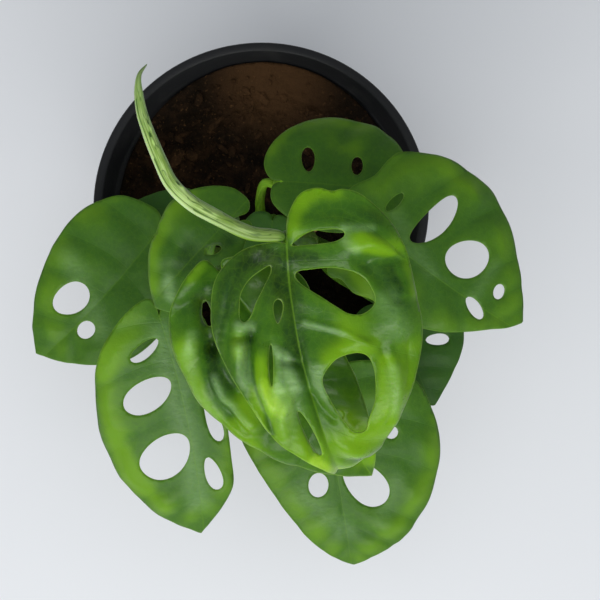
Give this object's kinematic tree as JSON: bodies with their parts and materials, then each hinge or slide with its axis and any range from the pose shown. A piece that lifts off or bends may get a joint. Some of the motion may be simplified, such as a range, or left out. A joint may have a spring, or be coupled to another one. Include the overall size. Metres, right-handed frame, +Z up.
{
  "type": "potted monstera adansonii",
  "caption": "Young swiss cheese plant with holed leaves on slender stalks and one rolled new leaf, growing in soil in a round black nursery pot.",
  "frame": {"origin": "centre of the pot's flat underside", "axes": "+Z up; -Y is the side the plant leans out over, +X is to the right of someone who faces +Y"},
  "size_m": [0.1653, 0.1868, 0.2662],
  "materials": {
    "pot_plastic": "satin",
    "soil": "matte",
    "blade": "satin",
    "petiole": "satin",
    "stem": "satin",
    "new_leaf": "satin",
    "root": "matte"
  },
  "bodies": {
    "root": {"nursery_pot": "pot_plastic", "potting_soil": "soil", "centre_stem": "stem", "left_stem": "stem", "short_stem": "stem", "front_stem": "stem", "top_leaf": "blade", "second_leaf": "blade", "upper_left_leaf": "blade", "left_leaf": "blade", "lower_left_leaf": "blade", "front_leaf": "blade", "right_leaf": "blade", "back_leaf": "blade", "low_right_leaf": "blade", "small_left_leaf": "blade", "small_inner_leaf": "blade", "top_petiole": "petiole", "second_petiole": "petiole", "upper_left_petiole": "petiole", "left_petiole": "petiole", "lower_left_petiole": "petiole", "front_petiole": "petiole", "right_petiole": "petiole", "back_petiole": "petiole", "low_right_petiole": "petiole", "small_left_petiole": "petiole", "small_inner_petiole": "petiole", "furled_leaf": "new_leaf", "centre_root": "root", "left_root": "root"}
  },
  "joints": []
}
